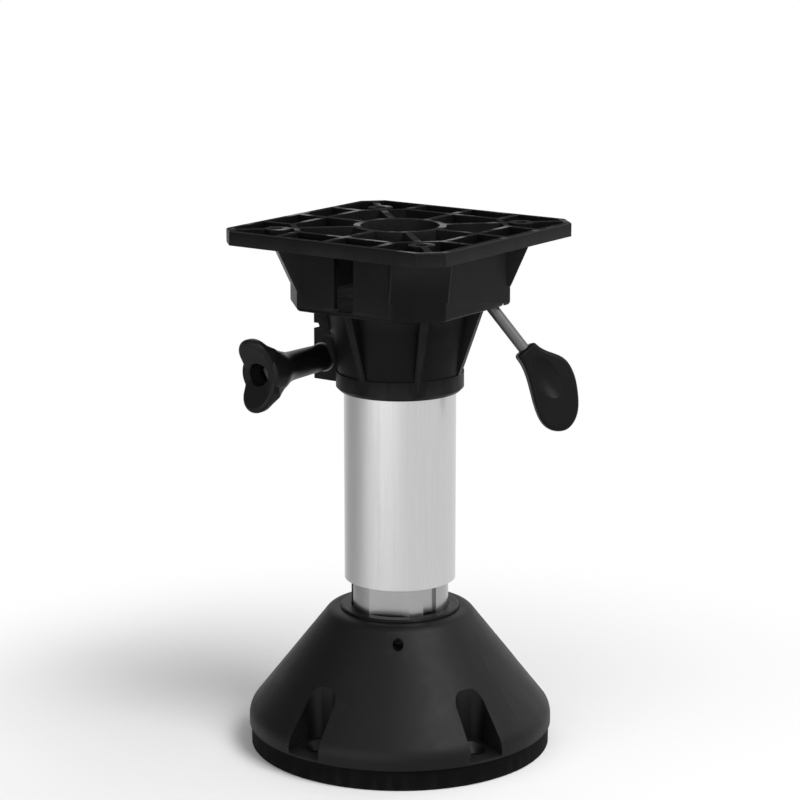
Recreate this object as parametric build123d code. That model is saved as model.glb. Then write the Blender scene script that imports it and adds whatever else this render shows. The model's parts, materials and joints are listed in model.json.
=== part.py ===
from build123d import *
from math import cos, radians, sin, sqrt, tan

# Boat seat pedestal, in millimetres. The origin is the centre of the deck base, on the deck.
# The seat plate's sides lie along X and Y, and the face box's slot looks along -Y.

# Clearances
run_gap = 0.3
close_gap = 0.1
bearing_gap = 0.08
stop_gap = 0.3

# Deck base
base_d = 228
base_h = 104
base_rim_h = 26
base_top_d = 106
base_wall = 4.5
base_shoulder_r = 16
base_top_r = 9
base_foot_h = 15
base_foot_step = 1.5
socket_wall = 5
recess_depth = 4
base_rib_t = 3.5
screw_count = 5
screw_inset = 16
screw_angle = -21
deck_hole_d = 8.5
deck_sink_d = 18
pocket_back = 12.3
pocket_back_w = 23
pocket_front_w = 29
pocket_corner_r = 8
pocket_floor = 20
pocket_fall = 0.2
screw_boss_d = 21
set_screw_angle = -56
set_screw_drop = 11
set_screw_d = 6
set_screw_len = 12
set_screw_sink_d = 8
set_screw_hex = 3
set_screw_hex_depth = 3
set_screw_boss_d = 15

# Bush and inner post
post_d = 73
bush_wall = 2
bush_flange_d = 89
bush_flange_h = 6
bush_len = 86
bush_floor = 4
bush_lip = 7
bush_corner_r = 3
key_angle = -17
key_w = 6.5
key_depth = 1.2
key_drop = 7
post_len = 272
post_bore_d = 59
post_flat_depth = 3.5
post_groove_w = 12
post_groove_depth = 3
post_lobes = 3
flat_turn = 51

# End plate and its fasteners
end_plate_t = 6
plate_screw_d = 4
plate_screw_len = 18
plate_screw_head_d = 6
plate_screw_head_h = 2
plate_screw_inset = 3.2
plate_screw_turn = 27

# Gas spring
rod_d = 10
rod_foot_d = 8
rod_foot_len = 10.5
rod_len = 152
rod_neck_d = 7
washer_t = 1.2
rod_washer_d = 18
clip_t = 1.4
rod_clip_d = 14
rod_clip_spring = 0.6
clip_groove = 0.8
piston_len = 12
cylinder_d = 28
cylinder_wall = 2
cylinder_lift = 12
gland_len = 12
cylinder_cap = 4
valve_d = 6
taper_foot_d = 27
taper_head_d = 23
taper_rise = 8

# Outer tube and guides
tube_d = 83
tube_wall = 2.5
tube_foot_gap = 21.5
travel = 120
lower_guide_inset = 1
upper_guide_len = 26
guide_lip = 4
guide_slack = 1
bump_t = 4
bump_w = 9
bump_inset = 2

# Top plug and swivel
plug_len = 18
plug_flange_t = 4
neck_d = 48
neck_len = 18
plug_pin_d = 5
plug_pin_len = 10.5
plug_pin_count = 3
thrust_t = 2
thrust_inset = 0.5
retainer_d = 62
retainer_t = 2.2
circlip_d = 53
circlip_t = 1.6
circlip_depth = 1.5
circlip_mouth = 8
button_d = 10
button_len = 10.5
button_drop = 4.3
button_proud = 1.2
button_edge_r = 2

# Seat mount: collar
liner_wall = 1.1
liner_inset = 2
collar_band_h = 14
collar_wall = 4.3
collar_band_step = 1
collar_chamfer = 2.5
collar_h = 63.5
collar_skin_top_d = 110
collar_rib_top_d = 129.4
collar_ribs = 7
collar_rib_t = 6.5
shoulder_t = 6.2

# Seat mount: clamp ears
ear_reach = 68
ear_half = 16
ear_split = 4
ear_foot = 2
ear_edge_r = 1.5
ear_h = 38
slit_h = 4.3
slit_reach = 32
clamp_x = -58
clamp_bolt_d = 8
clamp_z_rise = 17.5
nut_af = 13
nut_h = 6.5
bolt_head_h = 5.5
bolt_overhang = 9

# Seat mount: box and plate
box_half = 69
box_corner = 27
box_wall = 4
floor_t = 4
box_h = 48
box_edge_r = 3
flare = 15
flare_rise = 14.5
flare_ridge = 2.5
slot_w = 17
slot_foot = 4
slot_h = 40
slot_corner_r = 2.5
plate_half = 96
plate_corner = 14
plate_corner_r = 3
plate_t = 10
plate_skin = 2.5
plate_rim_w = 5
seat_bolt_spacing = 127
seat_hole_d = 8.4
seat_boss_d = 19
hub_bore_d = 58
hub_w = 5
plate_rib_w = 5
edge_r = 1.2

# Height lever
lever_angle = 30
lever_rod_d = 8.5
pivot_r = 38
lever_bend_r = 14
lever_wall_gap = 9
lever_reach = 25
lever_drop_angle = 52
grip_socket = 11
eye_d = 15
eye_w = 11
lever_pin_d = 5
lug_gap = 1
lug_t = 5
lug_w = 15
pin_clip_d = 10
pin_clip_t = 1
pin_overhang = 1.5
lever_tip = 2
floor_slot_w = 13
floor_slot_in = 12
floor_slot_out = 10

# Lever grip
grip_turn = 25
grip_len = 66.5
grip_w = 44
grip_mouth_w = 17
grip_mouth_t = 12.5
grip_end_t = 8
grip_edge_r = 3
scoop_along = 28
scoop_across = -1
scoop_turn = -7
scoop_len = 34
scoop_w = 19
scoop_depth = 3

# Wing knob
knob_washer_d = 22
knob_washer_t = 1.3
knob_len = 76
knob_root_d = 20
knob_hub_d = 33
knob_hub_len = 12
knob_edge_r = 2.5
knob_hole_d = 17
knob_hole_len = 20
wing_w = 27
wing_span = 54
wing_sweep = 12
wing_back = 24
wing_lean = 6
wing_edge_r = 3

# Heights and radii worked out from the sizes above
screw_circle_r = base_d / 2 - screw_inset
set_screw_z = base_h - set_screw_drop
post_r = post_d / 2
port_r = post_bore_d / 2 + plate_screw_inset
bush_body_r = post_r + bush_wall
socket_r = bush_body_r + run_gap
flange_z = base_h - recess_depth
bush_z = flange_z - bush_len
end_plate_z = bush_z + bush_floor
post_z = end_plate_z + end_plate_t
post_top = post_z + post_len
flange_top = flange_z + bush_flange_h
tube_z = flange_top + tube_foot_gap
tube_r = tube_d / 2
tube_bore_r = tube_r - tube_wall
guide_top = post_top + guide_lip
bump_top = guide_top + bump_t
plug_z = bump_top + stop_gap
tube_top = plug_z + plug_len
plug_top = tube_top + plug_flange_t
neck_top = plug_top + neck_len
shoulder_z = plug_top + thrust_t + stop_gap
floor_z = shoulder_z + shoulder_t
box_floor_top = floor_z + floor_t
retainer_z = box_floor_top + stop_gap
circlip_z = retainer_z + retainer_t + close_gap
plate_z = floor_z + box_h
plate_top = plate_z + plate_t
collar_z = floor_z - collar_h
liner_r = tube_r + run_gap
collar_bore_r = liner_r + liner_wall + close_gap
band_r = collar_bore_r + collar_wall
ear_z = collar_z + ear_foot
ear_top = ear_z + ear_h
slit_top = ear_top + slit_h
clamp_z = ear_z + clamp_z_rise
cylinder_z = post_z + cylinder_lift
cylinder_top = plug_z - run_gap
taper_top = plug_top + taper_rise
box_diagonal = (2 * box_half - box_corner) / sqrt(2)
button_z = neck_top + button_drop + run_gap + button_proud - button_len
button_top = button_z + button_len
lever_z = button_top + run_gap + lever_rod_d / 2
lever_exit_r = (box_half - box_wall) / cos(radians(lever_angle)) - lever_wall_gap
grip_start_r = lever_exit_r + lever_reach


def at(shape, x=0, y=0, z=0, turn=0):
    return Rot(0, 0, turn) * Pos(x, y, z) * shape


def disc(diameter, height, z):
    return Pos(0, 0, z) * Cylinder(diameter / 2, height, align=(Align.CENTER, Align.CENTER, Align.MIN))


def ring(outer_d, inner_d, height, z):
    return disc(outer_d, height, z) - disc(inner_d, height, z)


def turned(*points):
    face = make_face(Plane.XZ * Polyline(*points, close=True))
    return revolve(face, Axis.Z)


def block(x0, x1, y0, y1, z0, z1):
    return Pos((x0 + x1) / 2, (y0 + y1) / 2, (z0 + z1) / 2) * Box(x1 - x0, y1 - y0, z1 - z0)


def rod_along_y(diameter, y0, y1, x, z):
    return Pos(x, (y0 + y1) / 2, z) * Rot(90, 0, 0) * Cylinder(diameter / 2, y1 - y0)


def hex_along_y(across_flats, y0, y1, x, z):
    outline = RegularPolygon(across_flats / 2, 6, major_radius=False)
    return Pos(x, y1, z) * Rot(90, 0, 0) * extrude(outline, y1 - y0)


def post_outline(gap=0):
    # The extrusion's outer line: three shallow flats, and a keyed groove beside each.
    outline = Circle(post_r + gap)
    for lobe in range(post_lobes):
        turn = key_angle + lobe * 360 / post_lobes
        flat = Pos(2 * post_r - post_flat_depth + gap, 0) * Rectangle(2 * post_r, 2 * post_r)
        groove_w = post_groove_w - 2 * gap
        groove = Pos(2 * post_r - post_groove_depth + gap, 0) * Rectangle(2 * post_r, groove_w)
        outline -= Rot(0, 0, turn - flat_turn) * flat
        outline -= Rot(0, 0, turn) * groove
    return outline


def save(shape, node):
    export_step(shape, "parts/" + node + ".step")


def base_cone(inset=0, lift=0):
    base_r = base_d / 2 - inset
    top_r = base_top_d / 2 - inset
    return turned(
        (0, -lift),
        (base_r, -lift),
        (base_r, base_rim_h - inset / 2),
        (top_r, base_h - inset),
        (0, base_h - inset),
    )


def screw_turn(k):
    return screw_angle + k * 360 / screw_count


def pocket_shape(wall=0):
    # Open outwards, wider towards the rim, and with a floor that falls outwards so that water runs off.
    back_r = screw_circle_r - pocket_back - wall
    reach = base_d / 2 + 5
    back_half = pocket_back_w / 2 + wall
    front_half = pocket_front_w / 2 + wall
    corners = [(back_r, -back_half), (reach, -front_half), (reach, front_half), (back_r, back_half)]
    shape = extrude(make_face(Polyline(*corners, close=True)), base_h)
    back_edges = shape.edges().filter_by(Axis.Z).sort_by(Axis.X)[:2]
    shape = fillet(back_edges, pocket_corner_r + wall)
    low = pocket_floor - wall - pocket_fall * (reach - screw_circle_r)
    high = pocket_floor - wall + pocket_fall * screw_circle_r
    above = make_face(Plane.XZ * Polyline((0, high), (reach, low), (reach, base_h), (0, base_h), close=True))
    return shape & (Pos(0, base_d, 0) * extrude(above, 2 * base_d))


def base_outside(inset=0):
    # The cone with its top edge and its shoulder rounded, on a slightly narrower foot.
    solid = base_cone(inset)
    rings = solid.edges().filter_by(GeomType.CIRCLE).sort_by(Axis.Z)
    solid = fillet(rings[-1], base_top_r)
    rings = solid.edges().filter_by(GeomType.CIRCLE)
    solid = fillet(rings.sort_by(Axis.Z)[1], base_shoulder_r)
    return solid - ring(base_d + 2, base_d - 2 * (base_foot_step + inset), base_foot_h, 0)


def base_moulding():
    shell = base_outside() - base_cone(base_wall, 1)
    inner = disc(2 * (socket_r + socket_wall), base_h, 0)
    for k in range(screw_count):
        rib = block(0, base_d / 2 - 1, -base_rib_t / 2, base_rib_t / 2, 0, base_h)
        boss = disc(screw_boss_d, pocket_floor, 0)
        inner += at(rib, turn=screw_turn(k))
        inner += at(rib, turn=screw_turn(k + 0.5))
        inner += at(pocket_shape(base_wall), turn=screw_turn(k))
        inner += at(boss, x=screw_circle_r, turn=screw_turn(k))
    screw_boss = Rot(0, 90, 0) * Cylinder(
        set_screw_boss_d / 2, base_d / 4, align=(Align.CENTER, Align.CENTER, Align.MIN)
    )
    inner += at(screw_boss, z=set_screw_z, turn=set_screw_angle)
    body = shell + (inner & base_outside(0.5))
    body -= disc(2 * socket_r, base_h, 0)
    body -= disc(bush_flange_d + 2 * run_gap, base_h, flange_z)
    for k in range(screw_count):
        body -= at(pocket_shape(), turn=screw_turn(k))
        body -= at(deck_hole(), x=screw_circle_r, turn=screw_turn(k))
    body -= radial_rod(set_screw_d + 2 * close_gap, 0, base_d / 2, set_screw_z, set_screw_angle)
    sunk_from = socket_r + run_gap + set_screw_len
    body -= radial_rod(set_screw_sink_d, sunk_from, base_d / 2, set_screw_z, set_screw_angle)
    half_key = key_w / 2 - run_gap
    key_r = bush_body_r - key_depth + run_gap
    key = block(key_r, socket_r + 1, -half_key, half_key, bush_z, flange_z - key_drop - run_gap)
    return body + at(key, turn=key_angle)


def deck_hole():
    hole = disc(deck_hole_d, pocket_floor, 0)
    sink_h = (deck_sink_d - deck_hole_d) / 2
    rise = 3
    sink = Cone(
        deck_hole_d / 2, deck_sink_d / 2 + rise, sink_h + rise, align=(Align.CENTER, Align.CENTER, Align.MIN)
    )
    return hole + Pos(0, 0, pocket_floor - sink_h) * sink


def radial_rod(diameter, r0, r1, z, turn):
    rod = Rot(0, 90, 0) * Cylinder(diameter / 2, r1 - r0, align=(Align.CENTER, Align.CENTER, Align.MIN))
    return at(rod, x=r0, z=z, turn=turn)


def set_screw():
    tip = socket_r + close_gap
    screw = radial_rod(set_screw_d, tip, tip + set_screw_len, set_screw_z, set_screw_angle)
    socket = extrude(RegularPolygon(set_screw_hex / 2, 6, major_radius=False), set_screw_hex_depth + 1)
    socket_start = tip + set_screw_len - set_screw_hex_depth
    return screw - at(Rot(0, 90, 0) * socket, x=socket_start, z=set_screw_z, turn=set_screw_angle)


def base_bush():
    bore_r = post_r + close_gap
    body = turned(
        (bore_r - bush_lip, bush_z),
        (bush_body_r, bush_z),
        (bush_body_r, flange_z),
        (bush_flange_d / 2, flange_z),
        (bush_flange_d / 2, flange_top),
        (bore_r, flange_top),
        (bore_r, end_plate_z),
        (bore_r - bush_lip, end_plate_z),
    )
    circles = body.edges().filter_by(GeomType.CIRCLE)
    foot_edge = circles.filter_by(
        lambda e: abs(e.center().Z - bush_z) < 0.01 and abs(e.radius - bush_body_r) < 0.01
    )
    body = fillet(foot_edge, bush_corner_r)
    circles = body.edges().filter_by(GeomType.CIRCLE)
    rim_edges = circles.filter_by(lambda e: e.radius > bush_flange_d / 2 - 0.01)
    body = fillet(rim_edges, bush_flange_h / 4)
    half_key = key_w / 2
    key_floor = bush_body_r - key_depth
    keyway = block(key_floor, bush_body_r + 1, -half_key, half_key, bush_z - 1, flange_z - key_drop)
    return body - at(keyway, turn=key_angle)


def inner_post():
    post = extrude(Pos(0, 0, post_z) * (post_outline() - Circle(post_bore_d / 2)), post_len)
    for lobe in range(post_lobes):
        turn = key_angle + plate_screw_turn + lobe * 360 / post_lobes
        post -= at(disc(plate_screw_d + 2 * close_gap, plate_screw_len, post_z), x=port_r, turn=turn)
    return post


def end_plate():
    outline = post_outline(-close_gap) - Circle(rod_foot_d / 2 + close_gap)
    plate = extrude(Pos(0, 0, end_plate_z) * outline, end_plate_t)
    for lobe in range(post_lobes):
        turn = key_angle + plate_screw_turn + lobe * 360 / post_lobes
        plate -= at(plate_screw(close_gap), x=port_r, turn=turn)
    return plate


def plate_screw(gap=0):
    head = Pos(0, 0, end_plate_z) * Cone(
        plate_screw_head_d / 2 + gap,
        plate_screw_d / 2 + gap,
        plate_screw_head_h,
        align=(Align.CENTER, Align.CENTER, Align.MIN),
    )
    shank = disc(plate_screw_d + 2 * gap, plate_screw_len, end_plate_z + plate_screw_head_h)
    return head + shank


def plate_screws():
    screws = []
    for lobe in range(post_lobes):
        turn = key_angle + plate_screw_turn + lobe * 360 / post_lobes
        screws.append(at(plate_screw(), x=port_r, turn=turn))
    return Compound(children=screws)


def piston_rod():
    foot_z = post_z - rod_foot_len
    clip_z = end_plate_z - washer_t - clip_t - close_gap
    foot_r = rod_foot_d / 2
    neck_r = rod_neck_d / 2
    top = post_z + rod_len
    return turned(
        (0, foot_z),
        (foot_r, foot_z),
        (foot_r, clip_z - close_gap),
        (foot_r - clip_groove, clip_z - close_gap),
        (foot_r - clip_groove, clip_z + clip_t + close_gap),
        (foot_r, clip_z + clip_t + close_gap),
        (foot_r, post_z),
        (rod_d / 2, post_z),
        (rod_d / 2, top),
        (neck_r, top),
        (neck_r, top + piston_len + 2),
        (0, top + piston_len + 2),
    )


def rod_clip():
    z = end_plate_z - washer_t - clip_t - close_gap
    clip = ring(rod_clip_d, rod_foot_d - 2 * clip_groove + 2 * close_gap, clip_t, z)
    mouth = rod_foot_d - 2 * clip_groove - rod_clip_spring
    return clip - block(0, rod_clip_d, -mouth / 2, mouth / 2, z, z + clip_t)


def gas_cylinder():
    bore_r = cylinder_d / 2 - cylinder_wall
    valve_r = valve_d / 2
    return turned(
        (bore_r, cylinder_z),
        (cylinder_d / 2, cylinder_z),
        (cylinder_d / 2, cylinder_top),
        (taper_foot_d / 2 - close_gap, cylinder_top),
        (taper_head_d / 2 - close_gap, taper_top),
        (valve_r, taper_top),
        (valve_r, cylinder_top - cylinder_cap),
        (bore_r, cylinder_top - cylinder_cap),
    )


def lower_guide():
    z0 = tube_z + lower_guide_inset
    z1 = guide_top - upper_guide_len - travel - stop_gap
    outline = Circle(tube_bore_r - close_gap) - post_outline(run_gap)
    return extrude(Pos(0, 0, z0) * outline, z1 - z0)


def upper_guide():
    outer_r = tube_bore_r - run_gap
    foot_z = guide_top - upper_guide_len
    cup = disc(2 * outer_r, upper_guide_len, foot_z)
    cup -= extrude(Pos(0, 0, foot_z) * post_outline(close_gap), upper_guide_len - guide_lip)
    return cup - disc(cylinder_d + 2 * guide_slack, upper_guide_len, foot_z)


def top_plug():
    plug = turned(
        (0, plug_z),
        (tube_bore_r - close_gap, plug_z),
        (tube_bore_r - close_gap, tube_top),
        (tube_r, tube_top),
        (tube_r, plug_top),
        (neck_d / 2, plug_top),
        (neck_d / 2, circlip_z - close_gap),
        (neck_d / 2 - circlip_depth, circlip_z - close_gap),
        (neck_d / 2 - circlip_depth, circlip_z + circlip_t + close_gap),
        (neck_d / 2, circlip_z + circlip_t + close_gap),
        (neck_d / 2, neck_top),
        (0, neck_top),
    )
    taper = turned(
        (0, plug_z),
        (taper_foot_d / 2, plug_z),
        (taper_head_d / 2, taper_top),
        (0, taper_top),
    )
    plug -= taper + disc(button_d + 2 * bearing_gap, neck_top - taper_top, taper_top)
    for k in range(plug_pin_count):
        turn = k * 360 / plug_pin_count
        r0 = tube_r - close_gap - plug_pin_len
        plug -= radial_rod(plug_pin_d + 2 * close_gap, r0 - 1, tube_r, plug_z + plug_len / 2, turn)
    return plug


def outer_tube():
    tube = ring(tube_d, 2 * tube_bore_r, tube_top - tube_z, tube_z)
    hole_d = plug_pin_d + 2 * close_gap
    for k in range(plug_pin_count):
        turn = k * 360 / plug_pin_count
        tube -= radial_rod(hole_d, tube_bore_r - 2, tube_r + 2, plug_z + plug_len / 2, turn)
    return tube


def plug_pins():
    pins = []
    for k in range(plug_pin_count):
        turn = k * 360 / plug_pin_count
        r1 = tube_r - close_gap
        pins.append(radial_rod(plug_pin_d, r1 - plug_pin_len, r1, plug_z + plug_len / 2, turn))
    return Compound(children=pins)


def circlip():
    clip = ring(circlip_d, neck_d - 2 * circlip_depth + 2 * close_gap, circlip_t, circlip_z)
    return clip - block(0, circlip_d, -circlip_mouth / 2, circlip_mouth / 2, circlip_z, circlip_z + circlip_t)


def release_button():
    button = disc(button_d, button_len, button_z)
    return fillet(button.edges().sort_by(Axis.Z)[-1], button_edge_r)


def eight_sided(half, diagonal, height, z, round_r=0):
    corner = 2 * half - diagonal * sqrt(2)
    outline = chamfer(Rectangle(2 * half, 2 * half).vertices(), corner)
    if round_r > 0:
        outline = fillet(outline.vertices(), round_r)
    return extrude(Pos(0, 0, z) * outline, height)


def corner_flare(inset=0, ridge=0):
    # The wedge on each corner of the box that flares out to the plate.
    diagonal = box_diagonal - inset
    corner_w = box_corner * sqrt(2) - 2 * inset + 2 * ridge
    flare_z = floor_z + flare_rise
    profile = make_face(
        Plane.XZ
        * Polyline((0, flare_z), (diagonal, flare_z), (diagonal + flare, plate_z), (0, plate_z), close=True)
    )
    return Pos(0, corner_w / 2, 0) * extrude(profile, corner_w)


def box_outside():
    form = eight_sided(box_half, box_diagonal, box_h, floor_z, box_edge_r)
    form = fillet(form.faces().sort_by(Axis.Z)[0].edges(), box_edge_r)
    wedge = corner_flare(ridge=flare_ridge)
    outer_face = wedge.faces().sort_by(Axis.X)[-1]
    wedge = fillet(outer_face.edges().filter_by(lambda e: abs((e @ 0).Z - (e @ 1).Z) > 1), edge_r)
    for k in range(4):
        form += at(wedge, turn=45 + 90 * k)
    return form


def box_inside():
    form = eight_sided(box_half - box_wall, box_diagonal - box_wall, box_h - floor_t, box_floor_top)
    for k in range(4):
        form += at(corner_flare(inset=box_wall), turn=45 + 90 * k)
    return form


def collar():
    skin_foot_r = band_r - collar_band_step
    skin = turned(
        (0, collar_z),
        (band_r - collar_chamfer, collar_z),
        (band_r, collar_z + collar_chamfer),
        (band_r, collar_z + collar_band_h),
        (skin_foot_r, collar_z + collar_band_h),
        (collar_skin_top_d / 2, floor_z),
        (0, floor_z),
    )
    rib_profile = make_face(
        Plane.XZ
        * Polyline(
            (collar_bore_r, collar_z + collar_band_h - 1),
            (band_r, collar_z + collar_band_h),
            (collar_rib_top_d / 2, floor_z),
            (collar_bore_r, floor_z),
            close=True,
        )
    )
    rib = Pos(0, collar_rib_t / 2, 0) * extrude(rib_profile, collar_rib_t)
    for k in range(collar_ribs):
        skin += at(rib, turn=-90 + k * 360 / collar_ribs)
    return skin


def clamp_ears():
    ears = block(-ear_reach, -collar_bore_r + 4, -ear_half, ear_half, ear_z, floor_z)
    return fillet(ears.edges().filter_by(Axis.Z).sort_by(Axis.X)[:2], ear_edge_r)


def plate_tray():
    outline = chamfer(Rectangle(2 * plate_half, 2 * plate_half).vertices(), plate_corner)
    outline = fillet(outline.vertices(), plate_corner_r)
    tray = extrude(Pos(0, 0, plate_z) * outline, plate_t)
    tray = fillet(tray.faces().sort_by(Axis.Z)[-1].edges(), edge_r)
    inner_half = plate_half - plate_rim_w
    inner = chamfer(Rectangle(2 * inner_half, 2 * inner_half).vertices(), plate_corner - 2)
    hollow = extrude(Pos(0, 0, plate_z + plate_skin) * inner, plate_t)
    return tray - hollow


def plate_ribs():
    # The ribs on the plate's top, at the full depth of the plate.
    ribs = ring(hub_bore_d + 2 * hub_w, hub_bore_d, plate_t, plate_z)
    wall = eight_sided(box_half, box_diagonal, plate_t, plate_z)
    wall -= eight_sided(box_half - box_wall, box_diagonal - box_wall, plate_t, plate_z)
    ribs += wall
    rib_start = hub_bore_d / 2 + hub_w / 2
    half_w = plate_rib_w / 2
    reach = plate_half - plate_rim_w / 2
    boss_r = seat_bolt_spacing / sqrt(2)
    plate_diagonal = plate_half * sqrt(2) - plate_corner / sqrt(2) - plate_rim_w / 2
    for k in range(4):
        ribs += at(block(rib_start, reach, -half_w, half_w, plate_z, plate_top), turn=90 * k)
        ribs += at(block(rib_start, plate_diagonal, -half_w, half_w, plate_z, plate_top), turn=90 * k + 45)
        ribs += at(disc(seat_boss_d, plate_t, plate_z), x=boss_r, turn=90 * k + 45)
        for side in (-1, 1):
            y = side * (box_half - box_corner)
            rib = block(box_half - box_wall, reach, y - half_w, y + half_w, plate_z, plate_top)
            ribs += at(rib, turn=90 * k)
    return ribs


def lever_plane(shape):
    # Places a shape drawn with X outwards and Z up in the lever's own upright plane.
    return Rot(0, 0, lever_angle) * shape


def pin_along_lever_y(diameter, y0, y1):
    return rod_along_y(diameter, y0, y1, pivot_r, lever_z)


def lever_lugs():
    inner_y = eye_w / 2 + lug_gap
    lugs = None
    for side in (-1, 1):
        y0 = min(side * inner_y, side * (inner_y + lug_t))
        lug = block(pivot_r - lug_w / 2, pivot_r + lug_w / 2, y0, y0 + lug_t, box_floor_top - 1, lever_z)
        lug += rod_along_y(lug_w, y0, y0 + lug_t, pivot_r, lever_z)
        lugs = lug if lugs is None else lugs + lug
    return lever_plane(lugs)


def seat_plate():
    plate = plate_tray() - eight_sided(box_half - box_wall, box_diagonal - box_wall, plate_t, plate_z)
    plate += plate_ribs()
    boss_r = seat_bolt_spacing / sqrt(2)
    for k in range(4):
        plate -= at(disc(seat_hole_d, plate_t + 2, plate_z - 1), x=boss_r, turn=90 * k + 45)
    return plate


def seat_box():
    box = box_outside() - box_inside()
    box -= disc(neck_d + 2 * run_gap, floor_t, floor_z)
    box += lever_lugs()
    pin_reach = eye_w / 2 + lug_gap + lug_t
    box -= lever_plane(pin_along_lever_y(lever_pin_d + 2 * close_gap, -pin_reach, pin_reach))
    # The slot in the face and the lever's slot in the floor.
    slot_z = floor_z + slot_foot
    slot = block(-slot_w / 2, slot_w / 2, -box_half - 1, -box_half + box_wall + 1, slot_z, slot_z + slot_h)
    box -= fillet(slot.edges().filter_by(Axis.Y).group_by(Axis.Z)[0], slot_corner_r)
    return box - lever_slot()


def lever_slot():
    half_w = floor_slot_w / 2
    r0 = lever_exit_r - floor_slot_in
    r1 = lever_exit_r + floor_slot_out
    return lever_plane(block(r0, r1, -half_w, half_w, collar_z, box_floor_top))


def seat_collar():
    body = collar() + clamp_ears() - lever_slot()
    body -= disc(2 * collar_bore_r, shoulder_z - collar_z, collar_z)
    body -= disc(neck_d + 2 * run_gap, floor_z - shoulder_z, shoulder_z)
    # The clamp's two slits: one across, below the box, and one upright between the ears.
    body -= block(-ear_reach - 1, -slit_reach, -base_d, base_d, ear_top, slit_top)
    body -= block(-ear_reach - 1, -collar_bore_r + 2, -ear_split / 2, ear_split / 2, collar_z, slit_top)
    body -= rod_along_y(clamp_bolt_d + 2 * run_gap, -ear_half, ear_half, clamp_x, clamp_z)
    return body - hex_along_y(nut_af + 2 * close_gap, ear_half - nut_h, ear_half, clamp_x, clamp_z)


def swivel_liner():
    z0 = collar_z + liner_inset
    liner = ring(2 * (liner_r + liner_wall), 2 * liner_r, plug_top - 2 - z0, z0)
    return liner - block(-tube_r - 5, 0, -ear_split / 2, ear_split / 2, z0, plug_top)


def lever_bend():
    return lever_exit_r - (lever_z - floor_z) / tan(radians(lever_drop_angle))


def lever_rod():
    start = (-lever_tip, 0, lever_z)
    bend = (lever_bend(), 0, lever_z)
    end_r = grip_start_r + grip_socket * cos(radians(lever_drop_angle))
    end = (end_r, 0, lever_z - (end_r - lever_bend()) * tan(radians(lever_drop_angle)))
    path = FilletPolyline(start, bend, end, radius=lever_bend_r)
    section = Plane(origin=start, z_dir=(1, 0, 0)) * Circle(lever_rod_d / 2)
    rod = sweep(section, path)
    rod += pin_along_lever_y(eye_d, -eye_w / 2, eye_w / 2)
    rod -= pin_along_lever_y(lever_pin_d + 2 * bearing_gap, -eye_w / 2, eye_w / 2)
    return lever_plane(rod)


def grip_plane():
    # The grip's flat: X runs down the leaf in line with the rod, and Y across it, turned to meet the hand.
    drop = radians(lever_drop_angle)
    turn = radians(grip_turn)
    along = Vector(cos(drop), 0, -sin(drop))
    across = Vector(sin(drop), 0, cos(drop)) * cos(turn) + Vector(0, 1, 0) * sin(turn)
    grip_z = lever_z - (grip_start_r - lever_bend()) * tan(drop)
    return Plane(origin=(grip_start_r, 0, grip_z), x_dir=along, z_dir=along.cross(across))


def leaf_body():
    half_mouth = grip_mouth_w / 2
    shares = [
        (0.17, 0.27),
        (0.36, 0.43),
        (0.56, 0.41),
        (0.76, 0.26),
        (0.95, 0),
        (0.99, -0.3),
        (0.84, -0.52),
        (0.6, -0.48),
        (0.3, -0.28),
    ]
    points = [(x * grip_len, y * grip_w) for x, y in shares]
    side = Spline((0, half_mouth), *points, (0, -half_mouth))
    outline = make_face(side + Line(side @ 1, side @ 0))
    outline = fillet(outline.vertices(), grip_edge_r)
    leaf = Pos(0, 0, -grip_mouth_t) * extrude(outline, 2 * grip_mouth_t)
    mouth_half = grip_mouth_t / 2
    end_half = grip_end_t / 2
    corners = [(-1, -mouth_half), (grip_len, -end_half), (grip_len, end_half), (-1, mouth_half)]
    wedge = make_face(Plane.XZ * Polyline(*corners, close=True))
    body = leaf & (Pos(0, grip_w, 0) * extrude(wedge, 2 * grip_w))
    return fillet(body.edges(), grip_edge_r)


def thumb_scoop():
    # A long shallow hollow: an arc turned about the line above it.
    bow_r = (scoop_len**2 / 4 + scoop_depth**2) / (2 * scoop_depth)
    round_r = (scoop_w**2 / 4 + scoop_depth**2) / (2 * scoop_depth)
    half = sqrt(bow_r**2 - (bow_r - round_r) ** 2)
    arc = ThreePointArc((-half, 0), (0, round_r), (half, 0))
    spindle = revolve(make_face(arc + Line(arc @ 1, arc @ 0)), Axis.X)
    surface = grip_mouth_t / 2 - scoop_along * (grip_mouth_t - grip_end_t) / (2 * grip_len)
    return Pos(scoop_along, scoop_across, surface - scoop_depth + round_r) * Rot(0, 0, scoop_turn) * spindle


def lever_paddle():
    socket = Rot(0, 90, 0) * disc(lever_rod_d + close_gap, grip_socket + 1, -1)
    return lever_plane(grip_plane() * (leaf_body() - thumb_scoop() - socket))


def lever_pin():
    reach = eye_w / 2 + lug_gap + lug_t + pin_clip_t + pin_overhang
    return lever_plane(pin_along_lever_y(lever_pin_d, -reach, reach))


def lever_pin_clips():
    inner = eye_w / 2 + lug_gap + lug_t + close_gap
    clips = []
    for y0 in (inner, -inner - pin_clip_t):
        clip = pin_along_lever_y(pin_clip_d, y0, y0 + pin_clip_t)
        clip -= pin_along_lever_y(lever_pin_d + close_gap, y0, y0 + pin_clip_t)
        clips.append(lever_plane(clip))
    return Compound(children=clips)


def knob_root_y():
    return -ear_half - run_gap - knob_washer_t - close_gap


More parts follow.
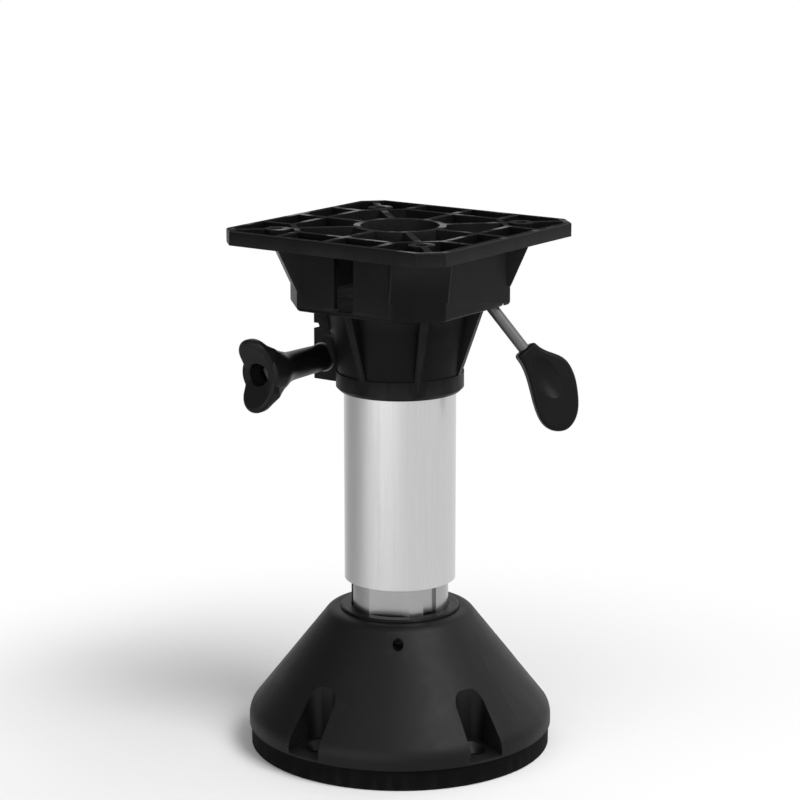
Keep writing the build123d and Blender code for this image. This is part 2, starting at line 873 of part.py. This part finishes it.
def wing_knob():
    root = knob_root_y()
    face = root - knob_len
    root_r = knob_root_d / 2
    hub_r = knob_hub_d / 2
    taper = Spline(
        (root_r, root),
        (root_r + 0.5, root - 0.4 * knob_len),
        (root_r + 2.5, root - 0.66 * knob_len),
        (hub_r, face + knob_hub_len),
        tangents=[(0, -1), (0, -1)],
    )
    rest = Polyline(taper @ 1, (hub_r, face), (0, face), (0, root), taper @ 0)
    profile = make_face(taper + rest)
    hub = revolve(profile, Axis.Y)
    hub = fillet(hub.faces().sort_by(Axis.Y)[0].edges(), knob_edge_r)
    knob = hub + Rot(0, -wing_lean, 0) * wings(face)
    front_hole = rod_along_y(knob_hole_d, face - wing_sweep, face + knob_hole_len, 0, 0)
    bolt_hole = rod_along_y(clamp_bolt_d + close_gap, face, root, 0, 0)
    return Pos(clamp_x, 0, clamp_z) * (knob - front_hole - bolt_hole)


def wings(face):
    # Seen from the front the two wings are one round-ended bar. From the side and from above they thin out
    # towards the hub, and their tips sweep forward.
    tip = wing_span / 2
    half_w = wing_w / 2
    back_y = face + wing_back
    side = Spline((back_y, 0.48 * tip), (face + 0.4 * wing_back, 0.63 * tip), (face, 0.8 * tip))
    front_y = face - wing_sweep
    front = [(face - 2, tip), (front_y, tip), (face, 0.15 * tip), (face, 0), (back_y, 0)]
    wing = extrude(make_face(side + Polyline(side @ 1, *front, side @ 0)), wing_w)
    wing = Plane(origin=(-half_w, 0, 0), x_dir=(0, 1, 0), z_dir=(1, 0, 0)) * wing
    bar = extrude(SlotOverall(wing_span, wing_w, rotation=90), 2 * knob_len, both=True)
    wing &= Rot(90, 0, 0) * bar
    thin_w = half_w / 2
    taper_y = face + 5
    front_end = [(-half_w, taper_y), (-half_w, front_y), (half_w, front_y), (half_w, taper_y)]
    back_end = [(thin_w, back_y), (-thin_w, back_y)]
    wing &= extrude(make_face(Polyline(*front_end, *back_end, close=True)), wing_span)
    wing = fillet(wing.edges().filter_by(lambda e: e.center().Z > 0.52 * tip), wing_edge_r)
    return wing + mirror(wing, Plane.XY)


def clamp_bolt():
    head_y = knob_root_y() - knob_len + knob_hole_len
    bolt = rod_along_y(clamp_bolt_d, head_y, ear_half + bolt_overhang, clamp_x, clamp_z)
    head = hex_along_y(nut_af, head_y - bolt_head_h, head_y, clamp_x, clamp_z)
    return bolt + head


def knob_washer():
    y1 = -ear_half - run_gap
    washer = rod_along_y(knob_washer_d, y1 - knob_washer_t, y1, clamp_x, clamp_z)
    return washer - rod_along_y(clamp_bolt_d + 2 * bearing_gap, y1 - knob_washer_t, y1, clamp_x, clamp_z)


def clamp_nut():
    y0 = ear_half - nut_h
    nut = hex_along_y(nut_af, y0, ear_half, clamp_x, clamp_z)
    return nut - rod_along_y(clamp_bolt_d + 2 * bearing_gap, y0, ear_half, clamp_x, clamp_z)


def simple_rings():
    rod_washer_z = end_plate_z - washer_t
    gland_bore = rod_d + 2 * bearing_gap
    cylinder_bore = cylinder_d - 2 * cylinder_wall
    rod_top = post_z + rod_len
    save(ring(rod_washer_d, rod_foot_d + 2 * close_gap, washer_t, rod_washer_z), "rod_washer")
    save(ring(cylinder_bore - close_gap, gland_bore, gland_len, cylinder_z), "rod_gland")
    save(ring(cylinder_bore - 2 * close_gap, rod_neck_d + close_gap, piston_len, rod_top), "piston")
    bump_r = tube_bore_r - bump_inset
    save(ring(2 * bump_r, 2 * (bump_r - bump_w), bump_t, guide_top), "bump_stop")
    save(ring(tube_d - 2 * thrust_inset, neck_d + 2 * close_gap, thrust_t, plug_top), "thrust_washer")
    save(ring(retainer_d, neck_d + 2 * close_gap, retainer_t, retainer_z), "retaining_washer")


save(base_moulding(), "base_moulding")
save(set_screw(), "set_screw")
save(base_bush(), "base_bush")
save(inner_post(), "inner_post")
save(end_plate(), "end_plate")
save(plate_screws(), "end_plate_screws")
save(piston_rod(), "piston_rod")
save(rod_clip(), "rod_clip")
save(gas_cylinder(), "gas_cylinder")
save(lower_guide(), "lower_guide")
save(upper_guide(), "upper_guide")
save(top_plug(), "top_plug")
save(outer_tube(), "outer_tube")
save(plug_pins(), "plug_pins")
save(circlip(), "circlip")
save(release_button(), "release_button")
save(seat_plate(), "seat_plate")
save(seat_box(), "seat_box")
save(seat_collar(), "seat_collar")
save(swivel_liner(), "swivel_liner")
save(lever_rod(), "lever_rod")
save(lever_paddle(), "lever_paddle")
save(lever_pin(), "lever_pin")
save(lever_pin_clips(), "lever_pin_clips")
save(wing_knob(), "wing_knob")
save(clamp_bolt(), "clamp_bolt")
save(knob_washer(), "knob_washer")
save(clamp_nut(), "clamp_nut")
simple_rings()
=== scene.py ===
import json
from math import cos, pi, radians, sin

import bpy
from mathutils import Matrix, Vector

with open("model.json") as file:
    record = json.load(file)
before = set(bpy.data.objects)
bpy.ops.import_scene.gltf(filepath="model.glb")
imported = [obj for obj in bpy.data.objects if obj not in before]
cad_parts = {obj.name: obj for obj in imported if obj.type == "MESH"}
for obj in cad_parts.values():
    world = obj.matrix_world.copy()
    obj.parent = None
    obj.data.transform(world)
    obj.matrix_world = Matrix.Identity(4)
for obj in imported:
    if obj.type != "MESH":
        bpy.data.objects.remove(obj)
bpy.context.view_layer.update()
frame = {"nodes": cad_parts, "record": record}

# Camera: metres from the post's axis, degrees from -Y towards +X, height, tilt down, lens and sensor in mm,
# and how far it sees
camera_distance = 1.815
camera_angle = 35.4
camera_height = 0.677
camera_tilt = 12.87
camera_lens = 113.4
camera_sensor = 36
camera_reach = 60

# Room: its darker side, in degrees from -Y towards +X and above the floor, how near that direction the shade
# begins and is full (1 is the direction itself), and the brightness left there in the air and on the floor
dark_side = -76
dark_rise = 25
shade_begins = 0.6
shade_full = 0.95
air_darkest = 0.2
floor_darkest = 0.5

# Brightness of the room as light on dull surfaces
room_light = 0.45

# Height on the post's axis that the lamps point at
lamp_aim = Vector((0, 0, 0.2))

# Floor: radius, corners, depth below the deck face, tone, roughness, and where its fade to white
# begins and ends
floor_radius = 18
floor_corners = 64
floor_depth = 0.0005
floor_tone = 0.92
floor_roughness = 0.9
fade_begins = 0.16
fade_full = 0.5

# The base's dull foot band: its height and the height over which it ends
foot_band = 0.015
band_end = 0.0005

# Radius of the edges that metal and bearing plastic show, in metres, and the samples taken to round an edge
metal_edge = 0.0002
bearing_edge = 0.0003
edge_samples = 4

# A mix node's two colour inputs and its colour output, which share their names with others
colour_inputs = (6, 7)
colour_output = 2


def direction(angle, rise):
    # A unit vector from the object: angle from -Y towards +X, rise above the floor, in degrees.
    flat = cos(radians(rise))
    return Vector((sin(radians(angle)) * flat, -cos(radians(angle)) * flat, sin(radians(rise))))


def grey(value, blue=1.03):
    return (value, value, value * blue)


class Nodes:
    # The node tree of a material or of the world.
    def __init__(self, tree):
        self.tree = tree

    def add(self, kind):
        return self.tree.nodes.new(kind)

    def link(self, out, into):
        self.tree.links.new(out, into)

    def ranged(self, value, low, high, start=0.3, stop=0.7, smooth=False):
        node = self.add("ShaderNodeMapRange")
        if smooth:
            node.interpolation_type = "SMOOTHSTEP"
        node.inputs["From Min"].default_value = start
        node.inputs["From Max"].default_value = stop
        node.inputs["To Min"].default_value = low
        node.inputs["To Max"].default_value = high
        self.link(value, node.inputs["Value"])
        return node.outputs["Result"]

    def math(self, operation, a, b):
        node = self.add("ShaderNodeMath")
        node.operation = operation
        for socket, value in zip(node.inputs, (a, b)):
            if isinstance(value, (int, float)):
                socket.default_value = value
            else:
                self.link(value, socket)
        return node.outputs["Value"]

    def vector(self, operation, value):
        node = self.add("ShaderNodeVectorMath")
        node.operation = operation
        self.link(value, node.inputs[0])
        return node


class Finish(Nodes):
    # A material whose colour, gloss and fine relief come from noise laid on the object's own coordinates.
    def __init__(self, name, stretch=(1, 1, 1)):
        self.material = bpy.data.materials.new(name)
        self.material.use_nodes = True
        super().__init__(self.material.node_tree)
        self.shader = self.tree.nodes["Principled BSDF"].inputs
        self.plain = self.add("ShaderNodeTexCoord").outputs
        mapping = self.add("ShaderNodeMapping")
        mapping.inputs["Scale"].default_value = stretch
        self.link(self.plain["Object"], mapping.inputs["Vector"])
        self.stretched = mapping.outputs["Vector"]

    def noise(self, scale, detail=2.0, rough=0.5, plain=False):
        node = self.add("ShaderNodeTexNoise")
        node.inputs["Scale"].default_value = scale
        node.inputs["Detail"].default_value = detail
        node.inputs["Roughness"].default_value = rough
        self.link(self.plain["Object"] if plain else self.stretched, node.inputs["Vector"])
        return node.outputs["Fac"]

    def mixed(self, factor, first, second):
        node = self.add("ShaderNodeMix")
        node.data_type = "RGBA"
        self.link(factor, node.inputs["Factor"])
        for number, value in zip(colour_inputs, (first, second)):
            if isinstance(value, tuple):
                node.inputs[number].default_value = (*value, 1)
            else:
                self.link(value, node.inputs[number])
        return node.outputs[colour_output]

    def relief(self, height, strength, distance, edge=0.0):
        bump = self.add("ShaderNodeBump")
        bump.inputs["Strength"].default_value = strength
        bump.inputs["Distance"].default_value = distance
        self.link(height, bump.inputs["Height"])
        if edge:
            rounded = self.add("ShaderNodeBevel")
            rounded.samples = edge_samples
            rounded.inputs["Radius"].default_value = edge
            self.link(rounded.outputs["Normal"], bump.inputs["Normal"])
        self.link(bump.outputs["Normal"], self.shader["Normal"])

    def upward(self, name):
        # The height above the object's origin, or how far a surface faces up.
        split = self.add("ShaderNodeSeparateXYZ")
        self.link(self.plain[name], split.inputs["Vector"])
        return split.outputs["Z"]

    def worn_edges(self, colour, worn, amount):
        # Lightens the colour along outer edges, broken up by noise.
        shape = self.add("ShaderNodeNewGeometry")
        edge = self.ranged(shape.outputs["Pointiness"], 0, 1, start=0.53, stop=0.6)
        patchy = self.ranged(self.noise(scale=90, detail=4, plain=True), 0.2, amount)
        return self.mixed(self.math("MULTIPLY", edge, patchy), colour, worn)


def dull_band(finish, gloss, roughness, top):
    # The band below the given height has a coarser, duller texture.
    up = finish.upward("Object")
    coarse = finish.ranged(up, 0.25, 0, start=top, stop=top + band_end)
    shine = finish.ranged(up, gloss * 0.3, gloss, start=top, stop=top + band_end)
    finish.link(shine, finish.shader["Specular IOR Level"])
    return finish.math("ADD", roughness, coarse)


def rubbed_tops_with_painted_light(finish, colour, shade, gloss, roughness, rubbed):
    # Level tops are painted paler as a painted highlight, and are dull and rubbed smooth in spots by the
    # seat.
    level = finish.ranged(finish.upward("Normal"), 0, 1, start=0.9, stop=0.99)
    # Painted light: faces that point up are mixed towards a paler grey, a painted highlight from above.
    painted_top_light = finish.mixed(level, colour, grey(shade * 3))
    spots = finish.ranged(finish.noise(scale=38, detail=3, plain=True), 0, 1, start=0.52, stop=0.64)
    worn = finish.math("MULTIPLY", level, spots)
    coarse = finish.math("MULTIPLY", level, 0.3)
    change = finish.math("SUBTRACT", coarse, finish.math("MULTIPLY", worn, 0.35))
    dull = finish.ranged(level, gloss, gloss * 0.12, start=0, stop=1)
    shine = finish.math("ADD", dull, finish.math("MULTIPLY", worn, rubbed))
    finish.link(shine, finish.shader["Specular IOR Level"])
    return painted_top_light, finish.math("ADD", roughness, change)


def moulded_plastic(name, shade, gloss, roughness, grain=1500, edge=0.0004, dull_below=None, rubbed=None):
    # Black plastic with a cloudy tone, fine specks, patchy gloss and paler edges.
    finish = Finish(name)
    cloud = finish.noise(scale=22, detail=3)
    fine = finish.noise(scale=grain, detail=3, rough=0.6)
    colour = finish.mixed(finish.ranged(cloud, 0, 1), grey(shade * 0.8), grey(shade * 1.25))
    speck = finish.ranged(fine, 0, 0.5, start=0.62, stop=0.72)
    colour = finish.mixed(speck, colour, grey(shade * 2.2))
    patches = finish.noise(scale=60, detail=4, rough=0.6)
    patchy = finish.ranged(patches, roughness - 0.03, roughness + 0.04)
    finish.shader["Specular IOR Level"].default_value = gloss
    if dull_below:
        patchy = dull_band(finish, gloss, patchy, dull_below)
    # Rubbed tops also get a painted highlight on their level faces.
    if rubbed:
        colour, patchy = rubbed_tops_with_painted_light(finish, colour, shade, gloss, patchy, rubbed)
    finish.link(patchy, finish.shader["Roughness"])
    edged = finish.worn_edges(colour, grey(shade * 4 + 0.01), amount=0.5)
    finish.link(edged, finish.shader["Base Color"])
    height = finish.math("ADD", finish.math("MULTIPLY", cloud, 6.0), fine)
    finish.relief(height, strength=0.35, distance=0.00006, edge=edge)
    return finish.material


def drawn_metal(name, shade, roughness, stretch=(1, 1, 0.012), streak=1400):
    # Aluminium or steel with fine lines along the direction in which it was drawn.
    finish = Finish(name, stretch)
    lines = finish.noise(scale=streak, detail=3, rough=0.7)
    wide = finish.noise(scale=streak / 9)
    cloud = finish.noise(scale=14, detail=3, plain=True)
    dark = grey(shade * 0.93, blue=1)
    light = grey(shade * 1.04, blue=1)
    lined = finish.mixed(finish.ranged(lines, 0, 1), dark, light)
    cloudy = finish.mixed(finish.ranged(cloud, 0, 0.35), lined, dark)
    finish.link(cloudy, finish.shader["Base Color"])
    finish.shader["Metallic"].default_value = 1
    mix = finish.math("ADD", finish.math("MULTIPLY", lines, 0.6), finish.math("MULTIPLY", wide, 0.4))
    finish.link(finish.ranged(mix, roughness - 0.04, roughness + 0.06), finish.shader["Roughness"])
    finish.relief(mix, strength=0.12, distance=0.00002, edge=metal_edge)
    return finish.material


def plated_steel(name, shade, roughness):
    # Steel with a cloudy, slightly blue plating.
    finish = Finish(name)
    cloud = finish.noise(scale=160, detail=4, rough=0.6)
    fine = finish.noise(scale=2600)
    colour = finish.mixed(finish.ranged(cloud, 0, 1), grey(shade, blue=1.02), grey(shade * 0.82, blue=1.02))
    finish.link(colour, finish.shader["Base Color"])
    finish.shader["Metallic"].default_value = 1
    finish.link(finish.ranged(cloud, roughness - 0.05, roughness + 0.1), finish.shader["Roughness"])
    finish.relief(finish.math("ADD", cloud, fine), strength=0.2, distance=0.00002, edge=metal_edge)
    return finish.material


def bearing_plastic(name):
    # Pale machined plastic of the guides and washers.
    finish = Finish(name)
    fine = finish.noise(scale=700)
    cloud = finish.noise(scale=30, detail=3)
    colour = finish.mixed(finish.ranged(cloud, 0, 1), (0.72, 0.71, 0.66), (0.8, 0.79, 0.75))
    finish.link(colour, finish.shader["Base Color"])
    finish.link(finish.ranged(fine, 0.38, 0.5), finish.shader["Roughness"])
    finish.relief(fine, strength=0.15, distance=0.00004, edge=bearing_edge)
    return finish.material


def rubber(name):
    finish = Finish(name)
    fine = finish.noise(scale=900, detail=4, rough=0.7)
    colour = finish.mixed(finish.ranged(fine, 0, 1), grey(0.018), grey(0.035))
    finish.link(colour, finish.shader["Base Color"])
    finish.link(finish.ranged(fine, 0.75, 0.9), finish.shader["Roughness"])
    finish.relief(fine, strength=0.4, distance=0.0001)
    return finish.material


def black_plastics():
    return {
        "base_plastic": moulded_plastic(
            "base_plastic", shade=0.0025, gloss=0.17, roughness=0.5, dull_below=foot_band
        ),
        "mount_plastic": moulded_plastic(
            "mount_plastic", shade=0.004, gloss=0.07, roughness=0.42, rubbed=0.2
        ),
        "bush_plastic": moulded_plastic("bush_plastic", shade=0.005, gloss=0.08, roughness=0.36, grain=2200),
        "knob_plastic": moulded_plastic(
            "knob_plastic", shade=0.006, gloss=0.13, roughness=0.36, grain=1900, edge=0.0006
        ),
        "grip_plastic": moulded_plastic(
            "grip_plastic", shade=0.0045, gloss=0.08, roughness=0.42, grain=2400, edge=0.0005
        ),
        "cylinder_paint": moulded_plastic("cylinder_paint", shade=0.01, gloss=0.3, roughness=0.3),
    }


def metals():
    even = (1, 1, 1)
    return {
        "tube_aluminium": drawn_metal("tube_aluminium", shade=0.57, roughness=0.3),
        "post_aluminium": drawn_metal("post_aluminium", shade=0.36, roughness=0.22),
        "plug_aluminium": drawn_metal("plug_aluminium", shade=0.5, roughness=0.32, stretch=even, streak=500),
        "lever_steel": drawn_metal("lever_steel", shade=0.12, roughness=0.55, stretch=even, streak=260),
        "steel": plated_steel("steel", shade=0.26, roughness=0.4),
        "black_steel": plated_steel("black_steel", shade=0.03, roughness=0.4),
        "rod_chrome": plated_steel("rod_chrome", shade=0.7, roughness=0.08),
    }


finishes = black_plastics() | metals()
finishes["bearing_plastic"] = bearing_plastic("bearing_plastic")
finishes["rubber"] = rubber("rubber")
for part in frame["record"]["subparts"]:
    node = frame["nodes"][part["node"]]
    for material_slot in node.material_slots:
        material_slot.material = finishes[part["material_slot"]]


def soft_lamp(name, angle, rise, distance, width, height, power):
    data = bpy.data.lights.new(name, "AREA")
    data.shape = "RECTANGLE"
    data.size = width
    data.size_y = height
    data.energy = power
    lamp = bpy.data.objects.new(name, data)
    bpy.context.scene.collection.objects.link(lamp)
    lamp.location = lamp_aim + direction(angle, rise) * distance
    lamp.rotation_euler = (lamp_aim - lamp.location).to_track_quat("-Z", "Y").to_euler()


# A large soft lamp high on the right, a wide low one in front, and a weak one behind.
soft_lamp("key", angle=84, rise=50, distance=2.4, width=1.2, height=1.2, power=45)
soft_lamp("front", angle=4, rise=10, distance=2.4, width=2.7, height=1.5, power=22)
soft_lamp("rim", angle=150, rise=25, distance=2.6, width=0.8, height=1.6, power=5)


def room_shade(room, place, darkest):
    # The room is darker on one side, which shades the left edge of metal and the base's left slope.
    towards = room.vector("DOT_PRODUCT", place)
    towards.inputs[1].default_value = direction(dark_side, dark_rise)
    return room.ranged(towards.outputs["Value"], 1, darkest, shade_begins, shade_full, smooth=True)


def studio_world():
    # White where it is seen directly, and dimmer as light on dull surfaces.
    world = bpy.data.worlds.new("studio")
    bpy.context.scene.world = world
    world.use_nodes = True
    room = Nodes(world.node_tree)
    place = room.add("ShaderNodeTexCoord").outputs["Generated"]
    path = room.add("ShaderNodeLightPath").outputs
    clear = room.math("MAXIMUM", path["Is Glossy Ray"], path["Is Transmission Ray"])
    level = room.ranged(clear, room_light, 1, start=0, stop=1)
    light = room.math("MULTIPLY", room_shade(room, place, air_darkest), level)
    background = world.node_tree.nodes["Background"].inputs
    background["Color"].default_value = (1, 1, 1, 1)
    room.link(room.math("MAXIMUM", light, path["Is Camera Ray"]), background["Strength"])


studio_world()


def floor_paper():
    # Pale paper around the object, plain white further out, and white in reflections except towards the
    # room's darker side, where they are shaded.
    material = bpy.data.materials.new("floor")
    material.use_nodes = True
    nodes = material.node_tree.nodes
    room = Nodes(material.node_tree)
    paper = nodes["Principled BSDF"]
    paper.inputs["Base Color"].default_value = (floor_tone, floor_tone, floor_tone, 1)
    paper.inputs["Roughness"].default_value = floor_roughness
    paper.inputs["Specular IOR Level"].default_value = 0
    place = room.add("ShaderNodeTexCoord").outputs["Object"]
    path = room.add("ShaderNodeLightPath").outputs
    heading = room.vector("NORMALIZE", place).outputs["Vector"]
    reach = room.vector("LENGTH", place).outputs["Value"]
    fade = room.ranged(reach, 0, 1, fade_begins, fade_full, smooth=True)
    white = room.add("ShaderNodeEmission")
    # The floor's glow seen in reflections is shaded towards the room's darker side.
    level = room.math("MAXIMUM", room_shade(room, heading, floor_darkest), path["Is Camera Ray"])
    room.link(level, white.inputs["Strength"])
    seen = room.math("MAXIMUM", path["Is Camera Ray"], path["Is Glossy Ray"])
    blend = room.add("ShaderNodeMixShader")
    room.link(room.math("MULTIPLY", fade, seen), blend.inputs["Fac"])
    room.link(paper.outputs["BSDF"], blend.inputs[1])
    room.link(white.outputs["Emission"], blend.inputs[2])
    room.link(blend.outputs["Shader"], nodes["Material Output"].inputs["Surface"])
    return material


def floor():
    mesh = bpy.data.meshes.new("floor")
    turns = [2 * pi * k / floor_corners for k in range(floor_corners)]
    rim = [(floor_radius * cos(turn), floor_radius * sin(turn), -floor_depth) for turn in turns]
    mesh.from_pydata(rim, [], [range(floor_corners)])
    sheet = bpy.data.objects.new("floor", mesh)
    bpy.context.scene.collection.objects.link(sheet)
    mesh.materials.append(floor_paper())


floor()


def photo_camera():
    data = bpy.data.cameras.new("camera")
    data.lens = camera_lens
    data.sensor_width = camera_sensor
    data.clip_end = camera_reach
    camera = bpy.data.objects.new("camera", data)
    bpy.context.scene.collection.objects.link(camera)
    flat = direction(camera_angle, 0) * camera_distance
    camera.location = (flat.x, flat.y, camera_height)
    view = direction(camera_angle, 0) * -cos(radians(camera_tilt))
    view.z = -sin(radians(camera_tilt))
    camera.rotation_euler = view.to_track_quat("-Z", "Y").to_euler()
    bpy.context.scene.camera = camera


photo_camera()
bpy.context.scene.view_settings.view_transform = "Standard"
